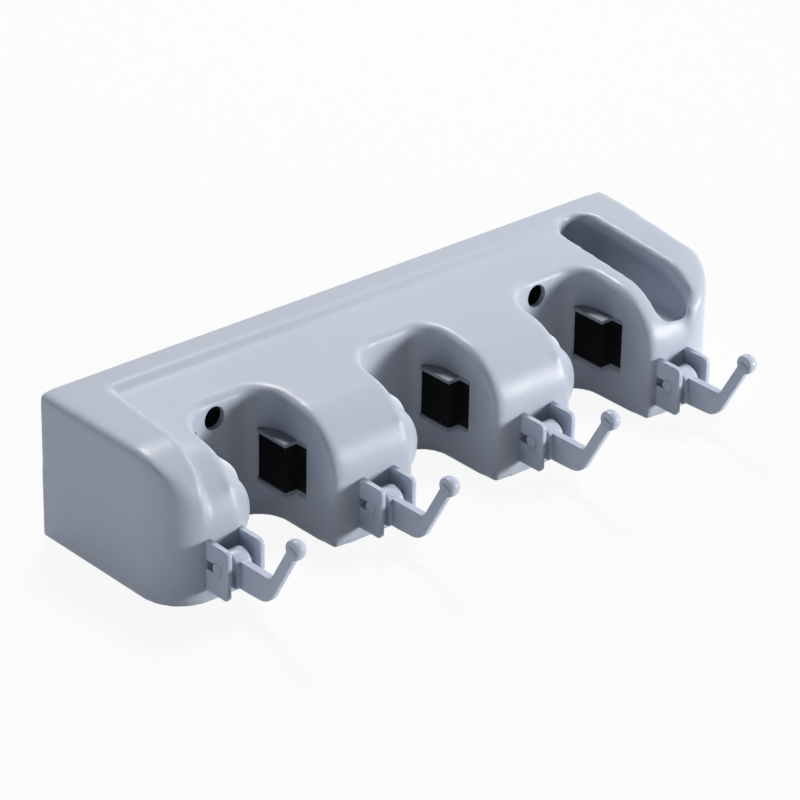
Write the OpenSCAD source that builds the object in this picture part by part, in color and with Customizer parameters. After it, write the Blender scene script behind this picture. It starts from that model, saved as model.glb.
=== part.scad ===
// Wall rack that grips broom and mop handles in three slots and carries four fold-up hooks.
// Origin: midway between the two wall screws, on the wall. +X runs to the right, +Z up and
// the front faces -Y.

/* [Rack] */
// Distance from one handle slot to the next
slot_pitch = 75; // [74:1:84]
// Room between the first roller's track and the inside of the left end
left_room = 1.77; // [1:0.01:12]
// Width of the border between the tray pocket and the right end
border_right_w = 18.5; // [14:0.1:20]
// Height at the back
rack_h = 55.5; // [54:0.5:62]
// Depth from the wall to the front face
rack_depth = 71.5; // [70:0.5:78]
// Thickness of the moulded shell
wall = 2.2; // [1.8:0.1:2.4]
// Radius of the left front upright corner
left_corner_r = 16; // [10:1:18]
// Radius of the right front upright corner
right_corner_r = 20; // [12:1:22]
// How far the right end draws in towards the front
end_draft = 3; // [0:0.5:4]
// Radius along the top of both ends
end_top_r = 4.5; // [3:0.5:6]
// Radius along the bottom of both ends
end_bottom_r = 2.6; // [2.5:0.1:4]

/* [Top] */
// Radius where the raised border turns down to the front
border_arc_r = 22; // [16:1:24]
// How far the right end's top falls towards the front
border_fall = 3.6; // [0:0.2:4]
// Width of the border along the back
border_back_w = 11.5; // [9:0.5:14]
// Width of the border at the left end, at the back
border_left_w = 21; // [16:1:26]
// How much narrower that border is at the front
border_left_taper = 6.5; // [0:0.5:9]
// Step from the border down to the field
field_drop = 2.3; // [1:0.1:3]
// Fall of the field from the back to its front curve
field_fall = 4.2; // [2:0.1:5]
// Radius of the field's front curve
field_arc_r = 24; // [20:1:26]

/* [Handle slots] */
// Screw line to the slot's left wall
slot_left = 17; // [15:0.5:18]
// Screw line to the slot's right wall
slot_right = 22; // [20:0.5:23]
// Wall of the room to the slot's back wall
slot_back = 33.5; // [30:0.5:35]
// Radius of the slot's left back corner
slot_left_r = 15; // [10:0.5:16]
// Radius of the slot's right back corner
slot_right_r = 11; // [6:0.5:14]
// Radius of the block's front corner at the right of a slot
mouth_right_r = 3.5; // [2.5:0.5:5]
// Radius of the block's front corner at the left of a slot
mouth_left_r = 2.6; // [2.5:0.1:3]

/* [Tray pocket] */
// Ridge between the last slot and the pocket
pocket_ridge = 8.5; // [8.5:0.1:10]
// Width of the pocket
pocket_w = 16; // [14:0.5:18]
// From the wall of the room to the pocket
pocket_back = 8.5; // [7:0.5:12]
// Height of the pocket's floor
pocket_floor = 30; // [29:0.5:34]
// Radius of the pocket's back corners
pocket_rear_r = 7.5; // [5:0.5:8.5]
// Radius of the pocket's front corners
pocket_front_r = 4.5; // [3:0.5:6]

/* [Wall fixing] */
// Height of the wall screws over the bottom edge
screw_h = 43.5; // [40:0.5:44]
// Diameter of the holes in the back plate for the wall screws
wall_hole_d = 5; // [4:0.1:5.5]
// Diameter of the driver holes in the slots' back walls
driver_hole_d = 8.8; // [8:0.1:9]
// Thickness of the back plate
plate_t = 3; // [2.5:0.1:4]
// Gap around the back plate
plate_gap = 0.25; // [0.2:0.05:0.4]

/* [Plate screws] */
// Diameter of the small screws
screw_d = 3; // [2.5:0.1:3.5]
// Diameter of their heads
screw_head_d = 5.6; // [5:0.1:6]
// Depth of their countersunk heads
screw_head_h = 1.5; // [1.2:0.1:1.8]
// Length of the small screws
screw_len = 8; // [7:0.5:9]
// Diameter of the bosses that the screws go into
boss_d = 7.2; // [6.5:0.1:8]
// Gap around a screw
screw_gap = 0.05; // [0.03:0.01:0.08]

/* [Rollers] */
// Diameter of the rubber tyre
tyre_d = 28; // [26:0.5:28]
// Thickness of the rubber
tyre_t = 3.2; // [2:0.1:5]
// Width of the roller
roller_w = 17; // [14:0.5:17]
// From the slot's left wall to the roller's axis at rest
roller_set = 2; // [1.5:0.1:3]
// Height of the roller's axis at rest
roller_h = 27.5; // [26:0.5:28]
// Wall of the room to the roller's back face
roller_back = 38; // [37.5:0.5:38.5]
// Travel of the roller up its track
roller_travel = 9.5; // [7:0.5:9.5]
// Slope of the track
track_slope = 20; // [15:1:21]
// Diameter of the axle
axle_d = 4; // [3:0.5:5]
// Play of the axle in its track and in the roller, on the radius
axle_play = 0.08; // [0.03:0.01:0.1]
// Gap between the roller and what it moves past
roller_gap = 0.4; // [0.3:0.1:0.6]
// Thickness of the track's cheeks
cheek_t = 2.2; // [1.8:0.1:2.4]
// Radius of the cheek's nose round the axle
cheek_nose_r = 4.6; // [4:0.1:5]
// Thickness of the track's web
web_t = 1.8; // [1.5:0.1:2]

/* [Roller cowls] */
// Radius of the round cowl in front of the roller
cowl_r = 17; // [15:0.5:17]
// How far the cowl's middle lies left of the slot's left wall
cowl_in = 9; // [8:0.5:11]
// Height of the cowl's middle
cowl_h = 26; // [24:0.5:27]
// How far the cowl is set back from the front face
cowl_setback = 3; // [2:0.5:4]
// Radius of the cowl's front edge
cowl_edge_r = 7; // [4:0.5:8]

/* [Friction pads] */
// Height of the window for the pad, bottom edge
pad_low = 14; // [12:0.5:15]
// Height of the window
pad_h = 19.5; // [17:0.5:20]
// Length of the window along the slot
pad_len = 20.5; // [18:0.5:21]
// Wall of the room to the back of the window
pad_back = 36; // [35.5:0.1:37]
// How far the raised part of the pad stands into the slot
pad_proud = 4.8; // [3:0.1:6]
// Length of the flush part in front of the raised part
pad_flush_len = 5; // [3:0.5:6]
// Thickness of the ledges over and under the pad
ledge_t = 1.5; // [1.2:0.1:2]
// How far the ledges stand past the rubber
ledge_proud = 0.5; // [0:0.1:1]
// Gap of the pad and its frame in the window
pad_gap = 0.2; // [0.1:0.05:0.3]

/* [Hook brackets] */
// Width over both ears
ear_span = 15.8; // [14:0.1:16.4]
// Thickness of an ear
ear_t = 1.9; // [1.5:0.1:2.2]
// How far the ears stand out of the front face
ear_reach = 11.6; // [11:0.1:13]
// Bottom edge of the ears
ear_low = 5.6; // [4:0.1:6]
// Top edge of the ears
ear_high = 24.4; // [22:0.1:24.5]
// Radius of the ears' top front corner
ear_corner_r = 2.4; // [1:0.1:4]
// Thickness of the bracket's base behind the front wall
base_t = 2; // [1.5:0.1:2.4]
// Gap between the bracket and its slits in the shell
slit_gap = 0.1; // [0.05:0.05:0.2]
// Middle of the two inner brackets, left of the slot's left wall
inner_hook_in = 16.9; // [15:0.1:20]
// Middle of the first bracket, left of its slot's left wall
first_hook_in = 9; // [9:0.1:14]
// Middle of the last bracket, right of its slot's right wall
last_hook_out = 11.6; // [11:0.1:14]

/* [Hooks] */
// Pivot in front of the front face
pivot_out = 5.6; // [5.6:0.1:6]
// Height of the pivot
pivot_h = 15.6; // [15:0.1:16]
// Diameter of the pivot pin
pin_d = 4.5; // [3.5:0.1:4.6]
// Running clearance of the pin in the ears, on the radius
pin_play = 0.05; // [0.03:0.01:0.08]
// Height of the snap slot in the ears
snap_h = 3.4; // [2:0.1:3.4]
// Diameter of the hook's knuckle
knuckle_d = 10.4; // [9:0.1:10.6]
// Length of the knuckle
knuckle_w = 6.6; // [5:0.1:8]
// Thickness of the hook's arm
arm_t = 2.8; // [2:0.1:3.5]
// Height of the arm's lower edge
arm_low = 8; // [7.9:0.1:9]
// Height of the arm's upper edge
arm_high = 18.5; // [16:0.1:19]
// Front face to the inside of the bend
bend_out = 25.4; // [22:0.1:28]
// Slope of the raised end of the arm
tip_slope = 60.5; // [50:0.5:70]
// Width of the raised end
tip_w = 4.2; // [3.6:0.1:5]
// Radius on the inside of the bend
bend_in_r = 3; // [2:0.5:5]
// Radius on the outside of the bend
bend_out_r = 8.4; // [6:0.1:10]
// Length of the raised end, from the bend to the ball's centre
tip_len = 19.6; // [15:0.1:22]
// Diameter of the ball
ball_d = 7.4; // [6:0.1:9]
// From the ball's middle to the flat on its left side
ball_flat = 1.5; // [1.4:0.1:3]

/* [Hidden] */

shell_colour = [0.80, 0.83, 0.88];
hook_colour = [0.62, 0.66, 0.72];
rubber_colour = [0.05, 0.05, 0.06];
roller_colour = [0.72, 0.74, 0.76];
inner_colour = [0.55, 0.58, 0.63];
steel_colour = [0.70, 0.71, 0.73];

over = 1;
fine = 96;
medium = 48;
stations = [-slot_pitch, 0, slot_pitch];
first_hook_x = stations[0] - slot_left - first_hook_in;
second_hook_x = stations[1] - slot_left - inner_hook_in;
third_hook_x = stations[2] - slot_left - inner_hook_in;
last_hook_x = stations[2] + slot_right + last_hook_out;
hook_x = [first_hook_x, second_hook_x, third_hook_x, last_hook_x];

roller_in = slot_left + roller_set;
travel_x = roller_travel * cos(track_slope);
travel_z = roller_travel * sin(track_slope);
web_right = -(roller_in + travel_x + tyre_d / 2 + 2 * roller_gap);
web_left = web_right - web_t;

pocket_left = stations[2] + slot_right + pocket_ridge;
pocket_right = pocket_left + pocket_w;
pocket_half = pocket_w / 2 - over;
pocket_rear = min(pocket_rear_r, pocket_half);
pocket_front = min(pocket_front_r, pocket_half);
field_right = pocket_right - 0.8 * pocket_front;
left_len = slot_pitch - web_left + left_room + wall;
right_len = pocket_right + border_right_w;
base_half = (ear_span - ear_t) / 2;
corner_lap = 1;
left_r = min(left_corner_r, left_len + first_hook_x - base_half + corner_lap);
right_r = min(right_corner_r, right_len - end_draft - last_hook_x - base_half + corner_lap);
field_back_h = rack_h - field_drop;
field_front_h = field_back_h - field_fall;
seam_in = (driver_hole_d / 2 + slot_right - slot_right_r) / 2;
seams = [-left_len - over, stations[0] + seam_in, stations[1] + seam_in, stations[2] + seam_in,
    right_len + over];

plate_draft = end_draft * plate_t / (rack_depth - right_r);
boss_len = border_back_w - plate_t - over;
boss_inset = wall + boss_d / 2 - 0.6;
end_boss_inset = 10;
boss_x = [-left_len + end_boss_inset, -slot_pitch / 2, slot_pitch / 2, right_len - end_boss_inset];
screw_hole_len = screw_len + 0.5;

roller_front = roller_back + roller_w;
cheek_front = roller_front + roller_gap + cheek_t;
cheek_rear = roller_back - roller_gap - cheek_t;
cowl_rear = cheek_front + roller_gap;
window_rear = cheek_rear - roller_gap;
web_low = 10;
web_high = 36;
track_top = 43.3;
foot_w = 9;
foot_t = 6.5;
foot_h = 12;
foot_x = web_left + foot_w / 2;
foot_z = 24;
core_r = tyre_d / 2 - tyre_t;
axle_head_r = axle_d / 2 + 1.3;
axle_head_t = 0.9;
axle_head_gap = 0.1;
core_web_w = 6;
core_hub_r = 4.6;
core_rim_t = 2.4;

frame_x = slot_right + wall + pad_gap;
frame_t = 3.6;
frame_edge = 1.4;
pad_face_x = slot_right - pad_proud;
ledge_face_x = pad_face_x - ledge_proud;
leg_t = 2.6;
leg_low = pad_low + 3;
leg_high = pad_low + pad_h - 3;
leg_foot_x = frame_x + frame_t - foot_w / 2;

pivot_y = -(rack_depth + pivot_out);
ear_front = -(rack_depth + ear_reach);
base_front = -(rack_depth - wall - slit_gap);
base_back = base_front + base_t;
bend_y = -(rack_depth + bend_out);
knuckle_r = knuckle_d / 2;
heel_r = 2;
tip_dir = [-cos(tip_slope), sin(tip_slope)];
tip_out = [-sin(tip_slope), -cos(tip_slope)];
bend_in_y = bend_y + bend_in_r * tan(tip_slope / 2);
bend_in_z = arm_high + bend_in_r;
tip_in = [bend_in_y + bend_in_r * tip_out[0], bend_in_z + bend_in_r * tip_out[1]];
bend_out_z = arm_low + bend_out_r;
bend_out_y = tip_in[0] + (tip_w - bend_out_r - (bend_out_z - tip_in[1]) * tip_out[1]) / tip_out[0];
ball_y = bend_y + tip_len * tip_dir[0] + tip_w / 2 * tip_out[0];
ball_z = arm_high + tip_len * tip_dir[1] + tip_w / 2 * tip_out[1];

module on_wall() {
    translate([0, 0, -screw_h]) children();
}

// A drawing of depth (x, negative to the front) and height (y), made into a bar along X
module along_x(x0, x1) {
    translate([x0, 0, 0]) rotate([90, 0, 90]) linear_extrude(x1 - x0) children();
}

// A drawing of width (x) and height (y), made into a bar along Y from y0 back to y1
module along_y(y0, y1) {
    translate([0, y1, 0]) rotate([90, 0, 0]) linear_extrude(y1 - y0) children();
}

module rod_y(x, z, r, y0, y1) {
    translate([x, y1, z]) rotate([90, 0, 0]) cylinder(h = y1 - y0, r = r, $fn = medium);
}

module rod_x(y, z, r, x0, x1) {
    translate([x0, y, z]) rotate([0, 90, 0]) cylinder(h = x1 - x0, r = r, $fn = medium);
}

module box(x0, x1, y0, y1, z0, z1) {
    translate([x0, y0, z0]) cube([x1 - x0, y1 - y0, z1 - z0]);
}

module sheet(x0, x1, y0, y1) {
    translate([x0, y0]) square([x1 - x0, y1 - y0]);
}

module dot(x, y, r) {
    translate([x, y]) circle(r, $fn = fine);
}

// Side view of the outside with its front curve, drawn in by inset
module side_outline(inset, back, fall) {
    arc_y = -(rack_depth - border_arc_r);
    arc_z = rack_h - fall - border_arc_r;
    union() {
        sheet(-(rack_depth - inset), back, inset, arc_z);
        dot(arc_y, arc_z, border_arc_r - inset);
        polygon([
            [arc_y, arc_z],
            [back, arc_z],
            [back, rack_h - inset],
            [-border_back_w, rack_h - inset],
            [arc_y, rack_h - fall - inset]]);
    }
}

module plan_outline(inset, back) {
    left_y = -(rack_depth - left_r);
    right_y = -(rack_depth - right_r);
    left_x = -left_len + left_r;
    right_x = right_len - end_draft - right_r;
    union() {
        dot(left_x, left_y, left_r - inset);
        dot(right_x, right_y, right_r - inset);
        sheet(left_x, right_x, -(rack_depth - inset), back);
        sheet(-left_len + inset, left_x, left_y, back);
        polygon([
            [right_x, right_y],
            [right_len - end_draft - inset, right_y],
            [right_len - inset, 0],
            [right_len - inset, back],
            [right_x, back]]);
    }
}

module end_outline(inset) {
    top_r = end_top_r - inset;
    low_r = end_bottom_r - inset;
    top_z = rack_h - end_top_r;
    union() {
        sheet(-left_len + end_top_r, right_len - end_top_r, inset, rack_h - inset);
        sheet(-left_len + inset, right_len - inset, end_bottom_r, top_z);
        for (x = [-left_len + end_top_r, right_len - end_top_r]) dot(x, top_z, top_r);
        for (x = [-left_len + end_bottom_r, right_len - end_bottom_r]) dot(x, end_bottom_r, low_r);
    }
}

// The room above the lower field of the top
module field_cut(inset) {
    arc_y = -(rack_depth - field_arc_r);
    arc_z = field_front_h - field_arc_r;
    left_back = -left_len + border_left_w - inset;
    back_y = -border_back_w + inset;
    intersection() {
        along_x(-left_len, right_len) difference() {
            sheet(-(rack_depth + over), back_y, arc_z, rack_h + over);
            dot(arc_y, arc_z, field_arc_r - inset);
            polygon([
                [arc_y, arc_z - over],
                [arc_y, field_front_h - inset],
                [back_y, field_back_h - inset],
                [back_y + over, field_back_h - inset],
                [back_y + over, arc_z - over]]);
        }
        linear_extrude(rack_h + over) polygon([
            [left_back, 0],
            [left_back, -border_back_w],
            [left_back - border_left_taper, -(rack_depth + over)],
            [field_right + inset, -(rack_depth + over)],
            [field_right + inset, 0]]);
    }
}

module mouth_corner(x, r, grow, side) {
    centre = x - side * r;
    intersection() {
        difference() {
            sheet(min(centre, x + side * over), max(centre, x + side * over),
                -(rack_depth + over), -(rack_depth - r));
            dot(centre, -(rack_depth - r), r - grow);
        }
        sheet(min(centre, x), max(centre, x), -(rack_depth + over), -(rack_depth - r));
    }
}

// Plan of a handle slot, grown by wall where the shell's inside follows it
module slot_cut(x, grow) {
    left = x - slot_left;
    right = x + slot_right;
    back = -slot_back;
    left_y = back - slot_left_r;
    right_y = back - slot_right_r;
    translate([0, 0, -over]) linear_extrude(rack_h + 2 * over) union() {
        sheet(left - grow, right + grow, -(rack_depth + over), left_y);
        sheet(left + slot_left_r, right + grow, left_y - over, right_y);
        sheet(left + slot_left_r, right - slot_right_r, right_y - over, back + grow);
        dot(left + slot_left_r, left_y, slot_left_r + grow);
        dot(right - slot_right_r, right_y, slot_right_r + grow);
        mouth_corner(left, mouth_left_r, grow, 1);
        mouth_corner(right, mouth_right_r, grow, -1);
    }
}

// Plan of the tray pocket, closed at the front by the shell's own wall
module pocket_cut(grow) {
    left = pocket_left;
    right = pocket_right;
    rear_y = -(pocket_back + pocket_rear);
    front = rack_depth - wall;
    front_y = -(front - pocket_front);
    translate([0, 0, pocket_floor - grow]) linear_extrude(rack_h) union() {
        sheet(left - grow, right + grow, front_y, rear_y);
        sheet(left + pocket_rear, right - pocket_rear, rear_y - over, -pocket_back + grow);
        sheet(left + pocket_front, right - pocket_front, -(front + grow), front_y + over);
        dot(left + pocket_rear, rear_y, pocket_rear + grow);
        dot(right - pocket_rear, rear_y, pocket_rear + grow);
        dot(left + pocket_front, front_y, pocket_front + grow);
        dot(right - pocket_front, front_y, pocket_front + grow);
    }
}

// The rack's form: the outside with inset 0, the hollow with inset wall
module form(inset, back) {
    split_x = (pocket_left + pocket_right) / 2;
    difference() {
        intersection() {
            union() {
                along_x(-left_len, split_x) side_outline(inset, back, 0);
                along_x(split_x, right_len) side_outline(inset, back, border_fall);
            }
            linear_extrude(rack_h) plan_outline(inset, back);
            along_y(-rack_depth, back) end_outline(inset);
        }
        field_cut(inset);
        for (x = stations) slot_cut(x, inset);
        pocket_cut(inset);
    }
}

// A round cowl on a slot's left wall, in front of the roller
module cowl(x, inset, rear) {
    r = cowl_r - inset;
    edge_r = cowl_edge_r - inset;
    front = -(rack_depth - cowl_setback - inset);
    depth = rear - front;
    intersection() {
        translate([x - slot_left - cowl_in, rear, cowl_h]) rotate([90, 0, 0])
            rotate_extrude($fn = fine) union() {
                square([r, depth - edge_r]);
                square([r - edge_r, depth]);
                intersection() {
                    dot(r - edge_r, depth - edge_r, edge_r);
                    square([r, depth]);
                }
            }
        box(x - slot_left - wall - over, x, front, rear, 0, rack_h);
    }
}

module bosses(r, depth) {
    for (x = boss_x) for (z = [boss_inset, rack_h - boss_inset])
        rod_y(x, z, r, -depth, -plate_t);
}

module ears(grow, y0, y1) {
    for (side = [0, 1]) mirror([side, 0, 0])
        box(ear_span / 2 - ear_t - grow, ear_span / 2 + grow, y0, y1, ear_low - grow, ear_high + grow);
}

// The whole moulding, which the four housing nodes share out at the middle of the slots
module moulding() {
    difference() {
        union() {
            difference() {
                union() {
                    form(0, 0);
                    for (x = stations) cowl(x, 0, -cowl_rear);
                }
                form(wall, over);
                for (x = stations) cowl(x, wall, -cowl_rear + over);
            }
            bosses(boss_d / 2, plate_t + boss_len);
        }
        bosses(screw_d / 2 + screw_gap, screw_hole_len);
        for (x = stations) {
            box(x - slot_left - wall - over, x - slot_left + slot_left_r / 2, -cowl_rear, -window_rear,
                roller_h - tyre_d / 2 - over, roller_h + tyre_d / 2 + over);
            box(x + slot_right - slot_right_r, x + slot_right + wall + over, -(pad_back + pad_len),
                -pad_back, pad_low, pad_low + pad_h + ledge_t);
        }
        for (x = [stations[0], stations[2]])
            rod_y(x, screw_h, driver_hole_d / 2, -slot_back - over, -slot_back + wall + over);
        for (x = hook_x) translate([x, 0, 0])
            ears(slit_gap, -(rack_depth + over), base_back + slit_gap);
    }
}

module housing(bay) {
    color(shell_colour) on_wall() intersection() {
        moulding();
        box(seams[bay - 1], seams[bay], -(rack_depth + over), over, -over, rack_h + over);
    }
}

module countersink(x, z, gap) {
    translate([x, 0, z]) rotate([90, 0, 0])
        cylinder(h = screw_head_h, r1 = screw_head_d / 2 + gap, r2 = screw_d / 2 + gap, $fn = medium);
}

module screw_hole(x, z) {
    rod_y(x, z, screw_d / 2 + screw_gap, -plate_t - over, over);
    countersink(x, z, screw_gap);
}

module small_screw(x, z) {
    countersink(x, z, 0);
    rod_y(x, z, screw_d / 2, -screw_len, -screw_head_h / 2);
}

module back_plate() {
    corner = 2 * end_top_r;
    color(inner_colour) on_wall() difference() {
        box(-left_len + wall + plate_gap, right_len - plate_draft - wall - plate_gap, -plate_t, 0,
            wall + plate_gap, rack_h - wall - plate_gap);
        for (x = [-left_len, right_len]) translate([x, 0, rack_h]) rotate([0, 45, 0])
            cube([corner, corner, corner], center = true);
        for (x = [stations[0], stations[2]])
            rod_y(x, screw_h, wall_hole_d / 2, -plate_t - over, over);
        for (x = boss_x) for (z = [boss_inset, rack_h - boss_inset]) screw_hole(x, z);
        for (x = stations) {
            screw_hole(x + foot_x, foot_z);
            screw_hole(x + leg_foot_x, foot_z);
        }
    }
}

module back_plate_screws() {
    color(steel_colour) on_wall()
        for (x = boss_x) for (z = [boss_inset, rack_h - boss_inset]) small_screw(x, z);
}

module foot_screws() {
    color(steel_colour) on_wall() for (x = stations) {
        small_screw(x + foot_x, foot_z);
        small_screw(x + leg_foot_x, foot_z);
    }
}

module foot(x) {
    difference() {
        box(x - foot_w / 2, x + foot_w / 2, -plate_t - foot_t, -plate_t,
            foot_z - foot_h / 2, foot_z + foot_h / 2);
        rod_y(x, foot_z, screw_d / 2 + screw_gap, -screw_hole_len, over);
    }
}

// A bar on the track's slope, from the axle to the left
module slope_bar(length, half, y0, y1) {
    translate([-roller_in, 0, roller_h]) rotate([0, track_slope, 0])
        box(-length, 0, y0, y1, -half, half);
}

module cheek(y0, y1) {
    arm_half = cheek_nose_r - 0.3;
    slot_half = axle_d / 2 + axle_play;
    difference() {
        union() {
            rod_y(-roller_in, roller_h, cheek_nose_r, y0, y1);
            intersection() {
                slope_bar(-web_left, arm_half, y0, y1);
                box(web_left, 0, y0, y1, web_low, track_top);
            }
            box(web_left, web_right + cheek_nose_r, y0, y1, web_low, web_high);
        }
        rod_y(-roller_in, roller_h, slot_half, y0 - over, y1 + over);
        rod_y(-roller_in - travel_x, roller_h + travel_z, slot_half, y0 - over, y1 + over);
        slope_bar(roller_travel, slot_half - axle_play / 4, y0 - over, y1 + over);
    }
}

module roller_track(x) {
    color(inner_colour) on_wall() translate([x, 0, 0]) union() {
        cheek(-cheek_front, -cheek_front + cheek_t);
        cheek(-cheek_rear - cheek_t, -cheek_rear);
        box(web_left, web_right, -cheek_front, -plate_t, web_low, web_high);
        foot(foot_x);
    }
}

module roller_axle(x) {
    color(steel_colour) on_wall() translate([x, 0, 0]) union() {
        rod_y(-roller_in, roller_h, axle_d / 2, -cheek_front - axle_head_t, -cheek_rear + axle_head_t);
        rod_y(-roller_in, roller_h, axle_head_r, -cheek_front - axle_head_t - axle_head_gap,
            -cheek_front - axle_head_gap);
        rod_y(-roller_in, roller_h, axle_head_r, -cheek_rear + axle_head_gap,
            -cheek_rear + axle_head_gap + axle_head_t);
    }
}

module roller_core(x) {
    recess = (roller_w - core_web_w) / 2;
    color(roller_colour) on_wall() translate([x, 0, 0]) difference() {
        rod_y(-roller_in, roller_h, core_r, -roller_front, -roller_back);
        rod_y(-roller_in, roller_h, axle_d / 2 + axle_play, -roller_front - over, -roller_back + over);
        for (y = [-roller_front - over, -roller_back - recess]) difference() {
            rod_y(-roller_in, roller_h, core_r - core_rim_t, y, y + recess + over);
            rod_y(-roller_in, roller_h, core_hub_r, y, y + recess + over);
        }
    }
}

module roller_tyre(x) {
    color(roller_colour) on_wall() translate([x, 0, 0]) difference() {
        rod_y(-roller_in, roller_h, tyre_d / 2, -roller_front, -roller_back);
        rod_y(-roller_in, roller_h, core_r, -roller_front - over, -roller_back + over);
    }
}

module pad_frame(x) {
    rear_y = -(pad_back + pad_gap);
    front_y = -(pad_back + pad_len - pad_gap);
    step_y = front_y + pad_flush_len;
    low_z = pad_low + pad_gap;
    high_z = pad_low + pad_h;
    color(inner_colour) on_wall() translate([x, 0, 0]) union() {
        difference() {
            box(frame_x, frame_x + frame_t, front_y - frame_edge, rear_y + frame_edge,
                low_z - frame_edge, high_z + ledge_t + frame_edge);
            box(frame_x - over, frame_x + frame_t / 2, front_y, rear_y, low_z + ledge_t, high_z);
        }
        box(ledge_face_x, frame_x, step_y, rear_y, low_z, low_z + ledge_t);
        box(ledge_face_x, frame_x, step_y, rear_y, high_z, high_z + ledge_t - pad_gap);
        box(slot_right, frame_x, front_y, step_y, low_z, low_z + ledge_t);
        box(slot_right, frame_x, front_y, step_y, high_z, high_z + ledge_t - pad_gap);
        box(frame_x + frame_t - leg_t, frame_x + frame_t, rear_y, -plate_t, leg_low, leg_high);
        foot(leg_foot_x);
    }
}

module friction_pad(x) {
    rear_y = -(pad_back + pad_gap);
    front_y = -(pad_back + pad_len - pad_gap);
    step_y = front_y + pad_flush_len;
    low_z = pad_low + pad_gap + ledge_t;
    high_z = pad_low + pad_h;
    color(rubber_colour) on_wall() translate([x, 0, 0]) union() {
        box(slot_right, frame_x + frame_t / 2, front_y, rear_y, low_z, high_z);
        box(pad_face_x, slot_right + over, step_y, rear_y, low_z, high_z);
    }
}

module ear_outline() {
    corner_y = ear_front + ear_corner_r;
    difference() {
        union() {
            sheet(ear_front, base_back, ear_low, ear_high - ear_corner_r);
            sheet(corner_y, base_back, ear_low, ear_high);
            dot(corner_y, ear_high - ear_corner_r, ear_corner_r);
        }
        dot(pivot_y, pivot_h, pin_d / 2 + pin_play);
        sheet(pivot_y, -rack_depth, pivot_h - snap_h / 2, pivot_h + snap_h / 2);
    }
}

module hook_bracket(x) {
    color(hook_colour) on_wall() translate([x, 0, 0]) union() {
        for (side = [0, 1]) mirror([side, 0, 0])
            along_x(ear_span / 2 - ear_t, ear_span / 2) ear_outline();
        box(-base_half, base_half, base_front, base_back, ear_low, ear_high);
    }
}

module hook_pin(x) {
    color(steel_colour) on_wall() rod_x(pivot_y, pivot_h, pin_d / 2, x - ear_span / 2, x + ear_span / 2);
}

// Side view of the hook's knuckle, with a heel that stops on the front face
module knuckle_outline() {
    union() {
        dot(pivot_y, pivot_h, knuckle_r);
        sheet(pivot_y - knuckle_r, pivot_y + knuckle_r, arm_low + heel_r, pivot_h);
        sheet(pivot_y - knuckle_r + heel_r, pivot_y + knuckle_r - heel_r, arm_low, pivot_h);
        for (y = [pivot_y - knuckle_r + heel_r, pivot_y + knuckle_r - heel_r])
            dot(y, arm_low + heel_r, heel_r);
    }
}

module arm_outline() {
    union() {
        difference() {
            polygon([
                [pivot_y, arm_low],
                [bend_out_y, arm_low],
                [bend_out_y, bend_out_z],
                [bend_out_y + bend_out_r * tip_out[0], bend_out_z + bend_out_r * tip_out[1]],
                [ball_y + tip_w / 2 * tip_out[0], ball_z + tip_w / 2 * tip_out[1]],
                [ball_y - tip_w / 2 * tip_out[0], ball_z - tip_w / 2 * tip_out[1]],
                tip_in,
                [bend_in_y, bend_in_z],
                [bend_in_y, arm_high],
                [pivot_y, arm_high]]);
            dot(bend_in_y, bend_in_z, bend_in_r);
        }
        intersection() {
            dot(bend_out_y, bend_out_z, bend_out_r);
            polygon([
                [bend_out_y, bend_out_z],
                [bend_out_y, arm_low - over],
                [bend_out_y + 2 * bend_out_r * tip_out[0], arm_low - over],
                [bend_out_y + 2 * bend_out_r * tip_out[0], bend_out_z + 2 * bend_out_r * tip_out[1]]]);
        }
    }
}

module hook(x) {
    color(hook_colour) on_wall() translate([x, 0, 0]) difference() {
        union() {
            along_x(-knuckle_w / 2, knuckle_w / 2) knuckle_outline();
            along_x(-arm_t / 2, arm_t / 2) arm_outline();
            difference() {
                translate([0, ball_y, ball_z]) sphere(d = ball_d, $fn = fine);
                box(-ball_d, -ball_flat, ball_y - ball_d, ball_y + ball_d,
                    ball_z - ball_d, ball_z + ball_d);
            }
        }
        rod_x(pivot_y, pivot_h, pin_d / 2, -knuckle_w, knuckle_w);
    }
}

housing(1);  // housing_1
housing(2);  // housing_2
housing(3);  // housing_3
housing(4);  // housing_4
back_plate();
back_plate_screws();
foot_screws();
roller_track(stations[0]);  // roller_track_1
roller_track(stations[1]);  // roller_track_2
roller_track(stations[2]);  // roller_track_3
roller_axle(stations[0]);  // roller_axle_1
roller_axle(stations[1]);  // roller_axle_2
roller_axle(stations[2]);  // roller_axle_3
roller_core(stations[0]);  // roller_core_1
roller_core(stations[1]);  // roller_core_2
roller_core(stations[2]);  // roller_core_3
roller_tyre(stations[0]);  // roller_tyre_1
roller_tyre(stations[1]);  // roller_tyre_2
roller_tyre(stations[2]);  // roller_tyre_3
pad_frame(stations[0]);  // pad_frame_1
pad_frame(stations[1]);  // pad_frame_2
pad_frame(stations[2]);  // pad_frame_3
friction_pad(stations[0]);  // friction_pad_1
friction_pad(stations[1]);  // friction_pad_2
friction_pad(stations[2]);  // friction_pad_3
hook_bracket(hook_x[0]);  // hook_bracket_1
hook_bracket(hook_x[1]);  // hook_bracket_2
hook_bracket(hook_x[2]);  // hook_bracket_3
hook_bracket(hook_x[3]);  // hook_bracket_4
hook_pin(hook_x[0]);  // hook_pin_1
hook_pin(hook_x[1]);  // hook_pin_2
hook_pin(hook_x[2]);  // hook_pin_3
hook_pin(hook_x[3]);  // hook_pin_4
hook(hook_x[0]);  // hook_1
hook(hook_x[1]);  // hook_2
hook(hook_x[2]);  // hook_3
hook(hook_x[3]);  // hook_4
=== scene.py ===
import bpy
import bmesh
import math
from mathutils import Matrix, Vector


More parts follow.
